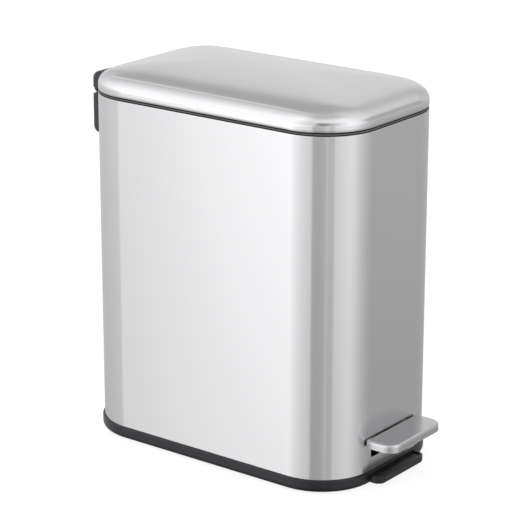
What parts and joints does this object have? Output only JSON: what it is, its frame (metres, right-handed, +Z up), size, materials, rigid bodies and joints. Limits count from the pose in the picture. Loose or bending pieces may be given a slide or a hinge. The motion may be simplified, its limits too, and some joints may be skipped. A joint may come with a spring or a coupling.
{
  "type": "pedal trash can",
  "caption": "Slim rounded-rectangle steel trash can with a domed lid opened by a foot pedal through a lever and a push rod, and a lift-out inner bucket with a bail handle.",
  "frame": {"origin": "on the floor, under the middle of the overall box", "axes": "+Z up; the pedal faces -Y and the hinge is at +Y; +X is to the right when the pedal side is looked at from the front"},
  "size_m": [0.1482, 0.282, 0.2962],
  "materials": {
    "brushed_steel": "finely brushed stainless steel, the grain running level around the can",
    "black_plastic": "satin moulded black plastic",
    "grey_plastic": "moulded dark grey polypropylene",
    "rubber": "matt moulded rubber",
    "zinc_steel": "zinc plated steel"
  },
  "bodies": {
    "can": {"base": "black_plastic", "rubber_feet": "rubber", "body_shell": "brushed_steel", "top_collar": "grey_plastic", "hinge_cover": "black_plastic", "hinge_cover_screws": "zinc_steel", "hinge_pin": "zinc_steel", "rod_guides": "zinc_steel", "pivot_pin": "zinc_steel", "pivot_clamps": "black_plastic", "pivot_clamp_screws": "zinc_steel", "lever_stop": "rubber"},
    "lid": {"lid_shell": "brushed_steel", "lid_liner": "black_plastic", "lid_bumpers": "rubber", "lid_hinge_block": "black_plastic", "lid_hinge_screws": "zinc_steel", "crank_pin": "zinc_steel"},
    "pedal": {"pedal_lever": "zinc_steel", "lever_pin": "zinc_steel", "pedal_cover": "brushed_steel", "pedal_pad": "black_plastic", "pedal_rivets": "zinc_steel"},
    "rod": {"push_rod": "zinc_steel"},
    "bucket": {"bucket": "grey_plastic"},
    "bail": {"bucket_handle": "zinc_steel", "handle_grip": "black_plastic"}
  },
  "joints": [
    {"name": "lid_hinge", "type": "hinge", "parent": "can", "child": "lid", "pos_m": [0, 0.1365, 0.2683], "axis": [-1, 0, 0], "range_deg": [0, 80]},
    {"name": "pedal_pivot", "type": "hinge", "parent": "can", "child": "pedal", "pos_m": [0, -0.0365, 0.0277], "axis": [1, 0, 0], "range_deg": [0, 7.2]},
    {"name": "rod_slide", "type": "slide", "parent": "can", "child": "rod", "axis": [0, 0, 1], "range_m": [0, 0.02]},
    {"name": "bucket_lift", "type": "slide", "parent": "can", "child": "bucket", "axis": [0, 0, 1], "range_m": [0, 0.007]},
    {"name": "bail_hinge", "type": "hinge", "parent": "bucket", "child": "bail", "pos_m": [0, 0.00225, 0.258], "axis": [-1, 0, 0], "range_deg": [0, 12]}
  ],
  "couplings": [
    {"joint": "pedal_pivot", "follows": "lid_hinge", "ratio": 0.08993},
    {"joint": "rod_slide", "follows": "lid_hinge", "m_per_rad": 0.014326}
  ]
}
